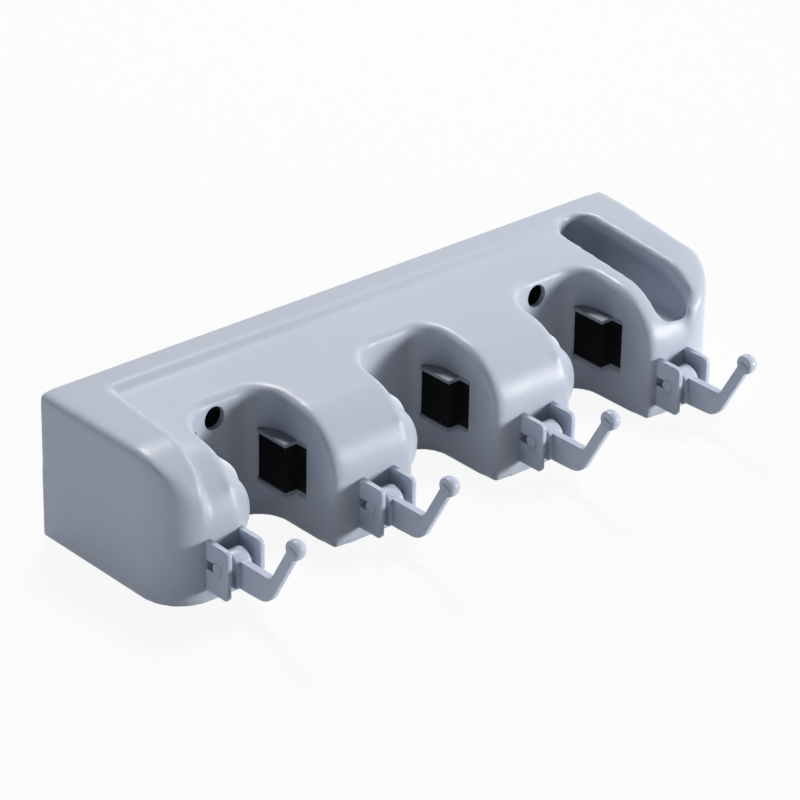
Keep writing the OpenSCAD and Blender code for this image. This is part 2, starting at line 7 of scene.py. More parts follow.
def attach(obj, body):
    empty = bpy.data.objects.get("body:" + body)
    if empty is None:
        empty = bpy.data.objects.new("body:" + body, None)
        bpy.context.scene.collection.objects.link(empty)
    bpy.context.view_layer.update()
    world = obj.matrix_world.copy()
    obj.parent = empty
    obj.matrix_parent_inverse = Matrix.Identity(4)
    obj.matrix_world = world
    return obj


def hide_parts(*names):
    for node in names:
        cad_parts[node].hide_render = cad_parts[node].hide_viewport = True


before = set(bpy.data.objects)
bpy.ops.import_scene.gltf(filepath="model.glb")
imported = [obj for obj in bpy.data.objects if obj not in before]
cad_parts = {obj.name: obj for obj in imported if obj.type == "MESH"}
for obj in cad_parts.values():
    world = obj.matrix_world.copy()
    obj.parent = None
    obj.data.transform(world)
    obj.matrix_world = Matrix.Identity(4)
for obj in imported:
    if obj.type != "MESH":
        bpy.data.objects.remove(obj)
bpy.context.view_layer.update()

# shared sizes in mm: x from the middle slot, z from the bottom, and y from the wall, which is
# negative to the front
mm = 0.001
screwHeight = 43.5
stations = [-75.0, 0.0, 75.0]  # the three slots
hookPlaces = [-101.0, -33.9, 41.1, 108.6]
# where the blocks end that run past the part
beyond = {"left": -150, "right": 160, "front": -85, "bottom": -5, "top": 65}
lap = 1.0  # how far joined blocks run into each other, and holes past what they cut


def place(x, y, z):
    # a point in mm, as the frame's metres
    return Vector((x * mm, y * mm, (z - screwHeight) * mm))


def inMm(v):
    return (v.x / mm, v.y / mm, v.z / mm + screwHeight)


def clearSelection():
    if bpy.context.object and bpy.context.object.mode != "OBJECT":
        bpy.ops.object.mode_set(mode="OBJECT")
    bpy.ops.object.select_all(action="DESELECT")


def makeActive(piece):
    clearSelection()
    piece.select_set(True)
    bpy.context.view_layer.objects.active = piece


def settle(piece):
    # puts the piece's place, turn and scale in its mesh
    makeActive(piece)
    bpy.ops.object.transform_apply(location=True, rotation=True, scale=True)
    return piece


def applyModifier(piece, kind, **settings):
    makeActive(piece)
    step = piece.modifiers.new(kind.lower(), kind)
    for key, value in settings.items():
        setattr(step, key, value)
    bpy.ops.object.modifier_apply(modifier=step.name)


def addBlock(name, x0, x1, y0, y1, z0, z1):
    clearSelection()
    bpy.ops.mesh.primitive_cube_add(size=1,
                                    location=place((x0 + x1) / 2, (y0 + y1) / 2, (z0 + z1) / 2),
                                    scale=((x1 - x0) * mm, (y1 - y0) * mm, (z1 - z0) * mm))
    block = bpy.context.object
    block.name = name
    return settle(block)


def addRod(name, start, end, radius, sides):
    a, b = place(*start), place(*end)
    clearSelection()
    bpy.ops.mesh.primitive_cylinder_add(vertices=sides, radius=radius * mm, depth=(b - a).length,
                                        location=(a + b) / 2,
                                        rotation=(b - a).to_track_quat("Z", "Y").to_euler())
    rod = bpy.context.object
    rod.name = name
    return settle(rod)


def addDrum(name, x, z, front, back, radius, sides):
    # a rod that runs straight back
    return addRod(name, (x, front, z), (x, back, z), radius, sides)


def near(value, target, slack=0.02):
    return abs(value - target) < slack


# tell a block's front from its back, and its top from its bottom
def isFront(p):
    return p[1] < -40


def isTop(p):
    return p[2] > 30


def bothEnds(test):
    # a test of a point, made a test of an edge's two ends
    return lambda a, b: test(a) and test(b)


def uprights(test):
    # the same, for edges that stand upright
    return lambda a, b: test(a) and test(b) and abs(a[2] - b[2]) > 1


def unpickAll(mesh):
    for part in (mesh.vertices, mesh.edges, mesh.polygons):
        for item in part:
            item.select = False


def pickEdges(piece, test):
    # selects the edges whose two ends, in mm, pass the test
    mesh = piece.data
    unpickAll(mesh)
    for edge in mesh.edges:
        a, b = (inMm(mesh.vertices[i].co) for i in edge.vertices)
        if test(a, b):
            edge.select = True
            for i in edge.vertices:
                mesh.vertices[i].select = True


def roundEdges(piece, test, radius, steps):
    makeActive(piece)
    pickEdges(piece, test)
    bpy.ops.object.mode_set(mode="EDIT")
    bpy.ops.mesh.select_mode(type="EDGE")
    bpy.ops.mesh.bevel(offset=radius * mm, segments=steps, profile=0.5, affect="EDGES")
    bpy.ops.object.mode_set(mode="OBJECT")


def shiftCorners(piece, test, dx=0, dz=0):
    makeActive(piece)
    unpickAll(piece.data)
    for v in piece.data.vertices:
        v.select = test(inMm(v.co))
    bpy.ops.object.mode_set(mode="EDIT")
    bpy.ops.mesh.select_mode(type="VERT")
    bpy.ops.transform.translate(value=(dx * mm, 0, dz * mm))
    bpy.ops.object.mode_set(mode="OBJECT")


def combine(piece, tool, how):
    applyModifier(piece, "BOOLEAN", operation=how, object=tool, solver="EXACT")
    bpy.data.objects.remove(tool)


def cleanFaces(piece, weld=0.02, flat=0.4):
    # merges points closer than weld, in mm, and faces that are flat to within some degrees
    makeActive(piece)
    bpy.ops.object.mode_set(mode="EDIT")
    bpy.ops.mesh.select_mode(type="VERT")
    bpy.ops.mesh.select_all(action="SELECT")
    bpy.ops.mesh.remove_doubles(threshold=weld * mm)
    bpy.ops.mesh.dissolve_limited(angle_limit=math.radians(flat), delimit=set())
    bpy.ops.mesh.select_all(action="DESELECT")
    bpy.ops.object.mode_set(mode="OBJECT")


def pickCreases(piece, test, sharpest):
    # selects edges where the surface turns by more than some degrees and both ends pass the test
    bpy.ops.mesh.select_mode(type="EDGE")
    bpy.ops.mesh.select_all(action="DESELECT")
    work = bmesh.from_edit_mesh(piece.data)
    for edge in work.edges:
        if (edge.calc_face_angle(0) > math.radians(sharpest)
                and all(test(inMm(v.co)) for v in edge.verts)):
            edge.select_set(True)
    work.select_flush_mode()
    bmesh.update_edit_mesh(piece.data)


def roundCreases(piece, test, radius, steps, sharpest=60, clamp=True):
    makeActive(piece)
    bpy.ops.object.mode_set(mode="EDIT")
    pickCreases(piece, test, sharpest)
    bpy.ops.mesh.bevel(offset=radius * mm, segments=steps, profile=0.5, affect="EDGES",
                       clamp_overlap=clamp)
    bpy.ops.object.mode_set(mode="OBJECT")


def shadeSmooth(piece, degrees):
    makeActive(piece)
    bpy.ops.object.shade_smooth_by_angle(angle=math.radians(degrees))


def everywhere(p):
    return True


# the moulded shell: its ends, the border round the sunk field, and the slots
# "behind" is how far its raw blocks pass the wall, before the back is cut off
shell = {
    "left": -123.5, "right": 140.0, "height": 55.5, "depth": 71.5, "wall": 2.2, "behind": 2.0,
    "leftCorner": 16.0, "rightCorner": 20.0, "rightDraft": 4.05, "rightFall": 3.6,
    "borderBack": 11.5, "borderArc": 22.0, "borderLeft": 21.0,
    "borderTaper": 6.5, "taperDepth": 80.0,
    "fieldBack": 53.2, "fieldFront": 49.0, "fieldArc": 24.0, "fieldLow": 22.0, "fieldIn": 3.6,
    "slotLeft": 17.0, "slotRight": 22.0, "slotBack": 33.5,
    "slotLeftR": 15.0, "slotRightR": 11.0, "lip": 3.0,
}
pocket = {
    "left": 105.5, "right": 121.5, "back": 8.5, "front": 68.0, "floor": 30.0,
    "rearR": 7.5, "frontR": 4.5, "fillet": 3.0,
}
# the cowls: a drum over each roller, "in" to the left of the slot's middle, of which only what is
# to the right of "cut" is kept
cowl = {
    "in": 26.0, "cut": 21.0, "radius": 17.0, "front": 68.5, "back": 58.0, "height": 26.0,
    "edge": 7.0, "hollowBack": 2.0, "sides": 64,
}
# openings in each slot's side walls: left and right from its middle, front and back as depths
windows = {
    "rollerWindow": {"left": -20.2, "right": -9.5, "front": 58.0, "back": 35.0,
                     "low": 12.5, "high": 42.5},
    "padWindow": {"left": 11.0, "right": 25.2, "front": 56.5, "back": 36.0,
                  "low": 14.0, "high": 35.0},
}
driverHole = {"radius": 4.4, "front": 42.0, "back": 28.0, "sides": 40}
# the skin's voxel size, the share of faces kept, and the rounds of smoothing with where they reach
soft = {
    "voxel": 0.9, "keep": 0.45, "rounds": 10,
    "step": {"rounds": 16, "side": 5.0, "sideLow": 24.0,
             "back": 4.5, "backLow": 45.0, "backEnd": 101.0},
    "ends": {"rounds": 40, "left": 5.0, "right": 9.0, "leftFront": -111.0, "rightFront": 126.0,
             "front": -50.0, "low": 26.0},
    "rim": {"rounds": 20, "beside": 5.0},
    "front": {"rounds": 40, "in": 4.0, "height": 36.0, "reach": 4.0},
    "corner": {"rounds": 50, "beside": 8.0, "behind": 9.0, "top": 34.0,
               "fade": 3.0, "topFade": 6.0},
}


def profileBlock(name, x0, x1, inset, backZ, frontZ, arc):
    # a block whose top falls from the border's back edge to a round front edge
    s = shell
    front = -s["depth"] + inset
    block = addBlock(name, x0, x1, front, s["behind"], inset, backZ - inset)
    turnY = -s["borderBack"]
    makeActive(block)
    bpy.ops.object.mode_set(mode="EDIT")
    bpy.ops.mesh.select_all(action="SELECT")
    bpy.ops.mesh.bisect(plane_co=(0, turnY * mm, 0), plane_no=(0, 1, 0))
    bpy.ops.object.mode_set(mode="OBJECT")
    arcY = -(s["depth"] - arc)
    fall = (backZ - frontZ) * (turnY - front) / (turnY - arcY)
    shiftCorners(block, lambda p: near(p[1], front) and near(p[2], backZ - inset), dz=-fall)
    lean = math.atan2(backZ - frontZ, turnY - arcY)
    reach = (arc - inset) * math.tan((math.pi / 2 - lean) / 2)
    roundEdges(block, bothEnds(lambda p: near(p[1], front) and isTop(p)), reach, steps=20)
    return block


def planBlock(name, inset):
    # the outline from above, which reaches a little further back than the profiles
    s = shell
    right = s["right"] - inset
    block = addBlock(name, s["left"] + inset, right, -s["depth"] + inset, s["behind"] + lap,
                     beyond["bottom"], beyond["top"])
    shiftCorners(block, lambda p: near(p[0], right) and isFront(p), dx=-s["rightDraft"])
    roundEdges(block, uprights(lambda p: p[0] < 0 and isFront(p)),
               s["leftCorner"] - inset, steps=14)
    roundEdges(block, uprights(lambda p: p[0] > 0 and isFront(p)),
               s["rightCorner"] - inset, steps=16)
    return block


def slotBlock(name, x, grow):
    s = shell
    x0, x1, y1 = x - s["slotLeft"] - grow, x + s["slotRight"] + grow, -s["slotBack"] + grow
    block = addBlock(name, x0, x1, beyond["front"], y1, beyond["bottom"], beyond["top"])
    roundEdges(block, bothEnds(lambda p: near(p[0], x0) and near(p[1], y1)),
               s["slotLeftR"] + grow, steps=14)
    roundEdges(block, bothEnds(lambda p: near(p[0], x1) and near(p[1], y1)),
               s["slotRightR"] + grow, steps=12)
    return block


def pocketBlock(name, grow):
    q = pocket
    y0, y1, z0 = -q["front"] - grow, -q["back"] + grow, q["floor"] - grow
    block = addBlock(name, q["left"] - grow, q["right"] + grow, y0, y1, z0, beyond["top"])
    roundEdges(block, uprights(lambda p: near(p[1], y1)), q["rearR"] + grow, steps=10)
    roundEdges(block, uprights(lambda p: near(p[1], y0)), q["frontR"] + grow, steps=8)
    if grow == 0:
        roundEdges(block, bothEnds(lambda p: near(p[2], z0)), q["fillet"], steps=6)
    return block


def shellForm(name, inset):
    # the outside with inset 0, the hollow with inset of a wall
    s = shell
    top, arc = s["height"], s["borderArc"]
    split = (pocket["left"] + pocket["right"]) / 2
    form = profileBlock(name, beyond["left"], split, inset, top, top, arc)
    end = profileBlock("endForm", split - lap, beyond["right"], inset,
                       top, top - s["rightFall"], arc)
    combine(form, end, "UNION")
    combine(form, planBlock("planForm", inset), "INTERSECT")
    left, right = s["left"] + s["borderLeft"] - inset, pocket["right"] - s["fieldIn"] + inset
    field = addBlock("fieldCut", left, right, -s["taperDepth"], -s["borderBack"] + inset,
                     s["fieldLow"], beyond["top"])
    shiftCorners(field, lambda p: p[0] < 0 and isFront(p), dx=-s["borderTaper"])
    fieldForm = profileBlock("fieldForm", beyond["left"], beyond["right"], inset,
                             s["fieldBack"], s["fieldFront"], s["fieldArc"])
    combine(field, fieldForm, "DIFFERENCE")
    combine(form, field, "DIFFERENCE")
    for x in stations:
        combine(form, slotBlock("slotForm", x, inset), "DIFFERENCE")
    combine(form, pocketBlock("pocketForm", inset), "DIFFERENCE")
    cleanFaces(form)
    return form


def onSlotWall(p, slack=0.1):
    s = shell
    return p[2] > slack / 2 and p[1] < -s["slotBack"] + slack and any(
        x - s["slotLeft"] - slack < p[0] < x + s["slotRight"] + slack for x in stations)


def nearStep(p):
    # along the border's inner edge
    s, n = shell, soft["step"]
    forward = max(0, -p[1] - s["borderBack"]) / (s["taperDepth"] - s["borderBack"])
    stepX = s["left"] + s["borderLeft"] - s["borderTaper"] * forward
    side = (abs(p[0] - stepX) < n["side"] and p[1] < -s["borderBack"] + n["side"]
            and p[2] > n["sideLow"])
    back = abs(p[1] + s["borderBack"]) < n["back"] and stepX - n["back"] < p[0] < n["backEnd"]
    return side or (back and p[2] > n["backLow"])


def nearEnd(p):
    # the tops of both ends and their front corners
    s, n = shell, soft["ends"]
    side = p[0] < s["left"] + n["left"] or p[0] > s["right"] - n["right"]
    front = p[1] < n["front"] and (p[0] < n["leftFront"] or p[0] > n["rightFront"])
    return (side or front) and p[2] > n["low"]


def nearPocketRim(p):
    # 1 on the pocket's walls above its fillet, less beside them
    q = pocket
    across = abs(p[0] - (q["left"] + q["right"]) / 2) - (q["right"] - q["left"]) / 2
    along = abs(p[1] + (q["front"] + q["back"]) / 2) - (q["front"] - q["back"]) / 2
    apart = abs(max(across, along)) / soft["rim"]["beside"]
    return max(0, 1 - apart) if p[2] > q["floor"] + q["fillet"] else 0


def nearPocketFront(p):
    # 1 at the pocket's front right corner, where the step between field and border ends
    q, n = pocket, soft["front"]
    apart = math.hypot(p[0] - q["right"] + n["in"], p[1] + q["front"], (p[2] - n["height"]) / 2)
    return min(1, max(0, 2 - apart / n["reach"]))


def nearBlockCorner(p):
    # 1 on the upright front corner to the right of each slot, less toward its top and sides
    s, n = shell, soft["corner"]
    apart = min(abs(p[0] - x - s["slotRight"]) for x in stations)
    return max(0, min(1, (n["beside"] - apart) / n["fade"],
                      (n["behind"] - s["depth"] - p[1]) / n["fade"],
                      (n["top"] - p[2]) / n["topFade"]))


def smoothPart(piece, test, rounds, level=False):
    # smooths a piece where the test gives 1, and less where it gives less; level keeps every height
    group = piece.vertex_groups.new(name="soft")
    for vertex in piece.data.vertices:
        weight = float(test(inMm(vertex.co)))
        if weight > 0:
            group.add([vertex.index], weight, "REPLACE")
    applyModifier(piece, "SMOOTH", vertex_group="soft", factor=0.5, iterations=rounds,
                  use_z=not level)
    piece.vertex_groups.clear()


def addCowls(form, inset):
    # joined to the outside with inset 0, cut out of the inside with inset of a wall
    c = cowl
    radius, front = c["radius"] - inset, -c["front"] + inset
    back = -c["back"] + (c["hollowBack"] if inset else 0)
    for x in stations:
        drum = addDrum("cowl", x - c["in"], c["height"], front, back, radius, c["sides"])
        roundEdges(drum, bothEnds(lambda p: near(p[1], front)), c["edge"] - inset, steps=10)
        side = addBlock("cowlSide", x - c["cut"], x, beyond["front"], 0,
                        beyond["bottom"], beyond["top"])
        combine(drum, side, "INTERSECT")
        combine(form, drum, "DIFFERENCE" if inset else "UNION")


def cutWindow(form, name, x):
    w = windows[name]
    block = addBlock(name, x + w["left"], x + w["right"], -w["front"], -w["back"],
                     w["low"], w["high"])
    combine(form, block, "DIFFERENCE")


def buildShell():
    s, d, h = shell, driverHole, hooks
    form = shellForm("housingShell", 0)
    roundCreases(form, onSlotWall, s["lip"], steps=5, sharpest=45, clamp=False)
    addCowls(form, 0)
    print("shell: outer form", len(form.data.vertices), "points")
    applyModifier(form, "REMESH", mode="VOXEL", voxel_size=soft["voxel"] * mm)
    smoothPart(form, everywhere, soft["rounds"])
    smoothPart(form, nearStep, soft["step"]["rounds"])
    smoothPart(form, nearEnd, soft["ends"]["rounds"])
    smoothPart(form, nearPocketRim, soft["rim"]["rounds"])
    smoothPart(form, nearPocketFront, soft["front"]["rounds"])
    smoothPart(form, nearBlockCorner, soft["corner"]["rounds"], level=True)
    print("shell: soft form", len(form.data.polygons), "faces")
    applyModifier(form, "DECIMATE", ratio=soft["keep"])
    print("shell: thinned", len(form.data.polygons), "faces")
    # the back is cut off at the wall, then the inside is hollowed
    tail = addBlock("tail", beyond["left"], beyond["right"], 0, 2 * s["behind"],
                    beyond["bottom"], beyond["top"])
    combine(form, tail, "DIFFERENCE")
    combine(form, shellForm("hollow", s["wall"]), "DIFFERENCE")
    addCowls(form, s["wall"])
    for x in stations:
        cutWindow(form, "rollerWindow", x)
        cutWindow(form, "padWindow", x)
    for x in (stations[0], stations[-1]):
        hole = addDrum("driverHole", x, screwHeight, -d["front"], -d["back"],
                       d["radius"], d["sides"])
        combine(form, hole, "DIFFERENCE")
    # each bracket's two ears pass through slits in the front
    gap = h["slitGap"]
    half = h["ear"] / 2 + gap
    for x in hookPlaces:
        for middle in (x - (h["span"] - h["ear"]) / 2, x + (h["span"] - h["ear"]) / 2):
            slit = addBlock("slit", middle - half, middle + half,
                            beyond["front"], h["baseBack"] + gap,
                            h["low"] - gap, h["high"] + gap)
            combine(form, slit, "DIFFERENCE")
    shadeSmooth(form, degrees=50)
    print("shell: done", len(form.data.polygons), "faces")
    return form


# a hook and its bracket: the pivot, the ears, the base, the knuckle, the arm with its tip, the ball
hooks = {
    "pivot": (-77.1, 15.6), "pin": 2.25, "pinGap": 0.05, "snap": 3.4,
    "slitGap": 0.1, "faceGap": 0.1,
    "span": 15.8, "ear": 1.9, "earBack": -69.3, "earEdge": 0.28, "reach": 11.6,
    "low": 5.6, "high": 24.4, "corner": 2.4,
    "notch": 13.2, "notchFall": 0.3, "notchDeep": 0.5, "chinHigh": 0.8, "chinDeep": 1.2,
    "baseIn": 0.9, "baseFront": -69.2, "baseBack": -67.3, "baseLow": 0.2, "baseEdge": 0.3,
    "knuckle": 5.2, "knuckleWide": 6.6, "knuckleFoot": 2.0, "knuckleEdge": 0.6,
    "arm": 2.8, "armLow": 8.0, "armHigh": 18.5, "armEdge": 0.55, "plainEnd": 4.0,
    "bend": -96.9, "slope": 60.5, "bendIn": 3.0, "bendOut": 8.4, "tip": 4.2, "tipLong": 19.6,
    "ball": 3.7, "ballFlat": 1.5, "gateMark": ((0.5, 0.0), (0.9, -0.35), (0.9, -0.15)),
}


def arcPoints(y, z, r, start, end, steps):
    return [(y + r * math.cos(math.radians(start + (end - start) * i / steps)),
             z + r * math.sin(math.radians(start + (end - start) * i / steps)))
            for i in range(steps + 1)]


def profilePiece(name, points, x0, x1):
    # a round sheet with its corners put on a side profile, drawn out along X
    clearSelection()
    bpy.ops.mesh.primitive_circle_add(vertices=len(points), radius=0.01, fill_type="NGON",
                                      location=(0, 0, 0))
    piece = bpy.context.object
    piece.name = name
    for v, (y, z) in zip(piece.data.vertices, points):
        v.co = place(x0, y, z)
    bpy.ops.object.mode_set(mode="EDIT")
    bpy.ops.mesh.select_all(action="SELECT")
    bpy.ops.mesh.extrude_region_move(TRANSFORM_OT_translate={"value": ((x1 - x0) * mm, 0, 0)})
    bpy.ops.mesh.select_all(action="SELECT")
    bpy.ops.mesh.normals_make_consistent(inside=False)
    bpy.ops.object.mode_set(mode="OBJECT")
    return piece


def copyAlong(piece, name, shift):
    twin = piece.copy()
    twin.data = piece.data.copy()
    twin.name = name
    bpy.context.collection.objects.link(twin)
    twin.data.transform(Matrix.Translation((shift * mm, 0, 0)))
    return twin


def buildBall(x, y, z):
    # a ball with its left side cut flat, and a sunk gate mark in the flat
    h = hooks
    clearSelection()
    bpy.ops.mesh.primitive_uv_sphere_add(segments=40, ring_count=24, radius=h["ball"] * mm,
                                         location=place(x, y, z), rotation=(0, math.pi / 2, 0))
    ball = settle(bpy.context.object)
    flat = place(x - h["ballFlat"], y, z)
    makeActive(ball)
    bpy.ops.object.mode_set(mode="EDIT")
    bpy.ops.mesh.select_all(action="SELECT")
    bpy.ops.mesh.bisect(plane_co=flat, plane_no=(-1, 0, 0), clear_outer=True, use_fill=True)
    bpy.ops.mesh.select_mode(type="FACE")
    bpy.ops.mesh.select_all(action="DESELECT")
    work = bmesh.from_edit_mesh(ball.data)
    for face in work.faces:
        face.select_set(face.normal.x < -0.99
                        and near(face.calc_center_median().x / mm, flat.x / mm, 0.1))
    bmesh.update_edit_mesh(ball.data)
    for width, depth in h["gateMark"]:
        bpy.ops.mesh.inset(thickness=width * mm, depth=depth * mm)
    bpy.ops.object.mode_set(mode="OBJECT")
    return ball


def buildHook(x):
    h = hooks
    pivotY, pivotZ = h["pivot"]
    slope = math.radians(h["slope"])
    along = (-math.cos(slope), math.sin(slope))
    out = (-math.sin(slope), -math.cos(slope))
    # the middles of the bend's inner and outer rounds, and of the ball
    inY, inZ = h["bend"] + h["bendIn"] * math.tan(slope / 2), h["armHigh"] + h["bendIn"]
    tipIn = (inY + h["bendIn"] * out[0], inZ + h["bendIn"] * out[1])
    outZ = h["armLow"] + h["bendOut"]
    outY = tipIn[0] + (h["tip"] - h["bendOut"] - (outZ - tipIn[1]) * out[1]) / out[0]
    half = h["tip"] / 2
    ballY = h["bend"] + h["tipLong"] * along[0] + half * out[0]
    ballZ = h["armHigh"] + h["tipLong"] * along[1] + half * out[1]
    end = 270 - h["slope"]
    points = [(pivotY, h["armHigh"]), (pivotY, h["armLow"])]
    points += arcPoints(outY, outZ, h["bendOut"], 270, end, steps=12)
    points += [(ballY + side * half * out[0], ballZ + side * half * out[1]) for side in (1, -1)]
    points += arcPoints(inY, inZ, h["bendIn"], end, 270, steps=8)
    arm = profilePiece("hookArm", points, x - h["arm"] / 2, x + h["arm"] / 2)
    roundCreases(arm, lambda p: p[1] < pivotY - h["plainEnd"], h["armEdge"], steps=3)
    r, foot, low = h["knuckle"], h["knuckleFoot"], h["armLow"]
    points = arcPoints(pivotY, pivotZ, r, 0, 180, steps=24)
    points += arcPoints(pivotY - r + foot, low + foot, foot, 180, 270, steps=6)
    points += arcPoints(pivotY + r - foot, low + foot, foot, 270, 360, steps=6)
    knuckle = profilePiece("knuckle", points, x - h["knuckleWide"] / 2, x + h["knuckleWide"] / 2)
    roundCreases(knuckle, everywhere, h["knuckleEdge"], steps=3)
    ball = buildBall(x, ballY, ballZ)
    combine(arm, knuckle, "UNION")
    combine(arm, ball, "UNION")
    shadeSmooth(arm, degrees=32)
    return arm


def buildBracket(x):
    h = hooks
    pivotY, pivotZ = h["pivot"]
    face = -shell["depth"]
    front = face - h["reach"]
    inner = x - h["span"] / 2 + h["ear"]
    holeStart, holeEnd = inner - h["ear"] - lap, inner + lap
    points = [(h["earBack"], h["low"]), (h["earBack"], h["high"])]
    points += arcPoints(front + h["corner"], h["high"] - h["corner"], h["corner"], 90, 180, steps=8)
    points += [(front, h["notch"]), (front + h["notchDeep"], h["notch"] - h["notchFall"]),
               (front + h["notchDeep"], h["low"] + h["chinHigh"]),
               (front + h["chinDeep"], h["low"])]
    ear = profilePiece("ear", points, inner - h["ear"], inner)
    hole = addRod("pinHole", (holeStart, pivotY, pivotZ), (holeEnd, pivotY, pivotZ),
                  h["pin"] + h["pinGap"], sides=32)
    combine(ear, hole, "DIFFERENCE")
    snap = addBlock("snap", holeStart, holeEnd, pivotY, face - h["faceGap"],
                    pivotZ - h["snap"] / 2, pivotZ + h["snap"] / 2)
    combine(ear, snap, "DIFFERENCE")
    cleanFaces(ear)
    roundCreases(ear, lambda p: p[1] < face - 2 * h["faceGap"], h["earEdge"], steps=2)
    twin = copyAlong(ear, "otherEar", h["span"] - h["ear"])
    half = h["span"] / 2 - h["baseIn"]
    base = addBlock("bracketBase", x - half, x + half, h["baseFront"], h["baseBack"],
                    h["low"] + h["baseLow"], h["high"] - h["baseLow"])
    roundCreases(base, everywhere, h["baseEdge"], steps=2)
    combine(ear, twin, "UNION")
    combine(ear, base, "UNION")
    shadeSmooth(ear, degrees=32)
    return ear


# a roller's tyre: its axle is "in" to the left of the slot's middle; front and back are depths
roller = {
    "in": 19.0, "height": 27.5, "back": 38.0, "front": 55.0, "radius": 14.0, "core": 10.8,
    "shoulder": 2.8, "sides": 96,
}


def buildTyre(x):
    r = roller
    middle, height = x - r["in"], r["height"]
    tyre = addDrum("tyre", middle, height, -r["front"], -r["back"], r["radius"], r["sides"])
    roundEdges(tyre, lambda a, b: near(a[1], b[1]), r["shoulder"], steps=5)
    hole = addDrum("coreHole", middle, height, -r["front"] - lap, -r["back"] + lap,
                   r["core"], r["sides"])
    combine(tyre, hole, "DIFFERENCE")
    shadeSmooth(tyre, degrees=35)
    return tyre


# a grip pad: the proud part from "face" to the depth "step", the flush part to the depth "front"
pad = {
    "face": 17.2, "flush": 22.0, "deep": 26.2, "back": 36.2, "step": 51.3, "front": 56.3,
    "low": 15.7, "high": 33.5, "edge": 0.5,
}


def buildPad(x):
    d = pad
    rubber = addBlock("pad", x + d["flush"], x + d["deep"], -d["front"], -d["back"],
                      d["low"], d["high"])
    proud = addBlock("proud", x + d["face"], x + d["flush"] + lap, -d["step"], -d["back"],
                     d["low"], d["high"])
    combine(rubber, proud, "UNION")
    cleanFaces(rubber)
    roundCreases(rubber, lambda p: p[0] < x + d["flush"] + d["edge"], d["edge"], steps=3)
    shadeSmooth(rubber, degrees=35)
    return rubber


def addNode(tree, kind, spot, **values):
    node = tree.nodes.new(kind)
    node.location = spot
    for key, value in values.items():
        if key in node.inputs:
            node.inputs[key].default_value = value
        else:
            setattr(node, key, value)
    return node


def addNoise(tree, where, spot, scale, detail, roughness):
    noise = addNode(tree, "ShaderNodeTexNoise", spot, Scale=scale, Detail=detail,
                    Roughness=roughness)
    tree.links.new(where.outputs["Object"], noise.inputs["Vector"])
    return noise


def addSpread(tree, spot, noise, span, result=(0.0, 1.0)):
    # stretches the part of a noise's values within the span over the result
    spread = addNode(tree, "ShaderNodeMapRange", spot)
    for key, value in zip(("From Min", "From Max", "To Min", "To Max"), span + result):
        spread.inputs[key].default_value = value
    tree.links.new(noise.outputs["Fac"], spread.inputs["Value"])
    return spread


# light and dark tone, least and most roughness, and the look of the surface
finishes = {
    "shellGrey": {"light": (0.44, 0.48, 0.56), "dark": (0.42, 0.46, 0.535),
                  "rough": (0.34, 0.44), "look": "shell"},
    "hookGrey": {"light": (0.455, 0.50, 0.595), "dark": (0.42, 0.465, 0.56),
                 "rough": (0.34, 0.46), "look": "hook"},
    "innerGrey": {"light": (0.32, 0.345, 0.39), "dark": (0.285, 0.31, 0.355),
                  "rough": (0.45, 0.60), "look": "hook"},
    "rollerGrey": {"light": (0.58, 0.615, 0.67), "dark": (0.54, 0.57, 0.63),
                   "rough": (0.55, 0.7), "look": "rubber"},
    "padBlack": {"light": (0.006, 0.006, 0.007), "dark": (0.004, 0.004, 0.005),
                 "rough": (0.6, 0.75), "look": "pad"},
}
steel = {"tint": (0.62, 0.62, 0.60), "rough": (0.3, 0.5), "streaks": 900.0}
# how fine the tone, rubbed patches, grain and sink marks are, and how strong the last two
looks = {
    "shell": {"specular": 0.3, "ior": 1.46, "toneScale": 14.0, "rubScale": 45.0,
              "grainScale": 2600.0, "grain": 0.35, "sinkScale": 24.0, "sink": 0.10},
    "hook": {"specular": 0.3, "ior": 1.46, "toneScale": 60.0, "rubScale": 90.0,
             "grainScale": 3000.0, "grain": 0.3, "sinkScale": 80.0, "sink": 0.08},
    "pad": {"specular": 0.05, "ior": 1.5, "toneScale": 90.0, "rubScale": 140.0,
            "grainScale": 2200.0, "grain": 0.8, "sinkScale": 120.0, "sink": 0.05},
    "rubber": {"specular": 0.35, "ior": 1.5, "toneScale": 90.0, "rubScale": 140.0,
               "grainScale": 2200.0, "grain": 0.8, "sinkScale": 120.0, "sink": 0.05},
}
grainDepth, sinkDepth = 0.04, 0.6  # in mm


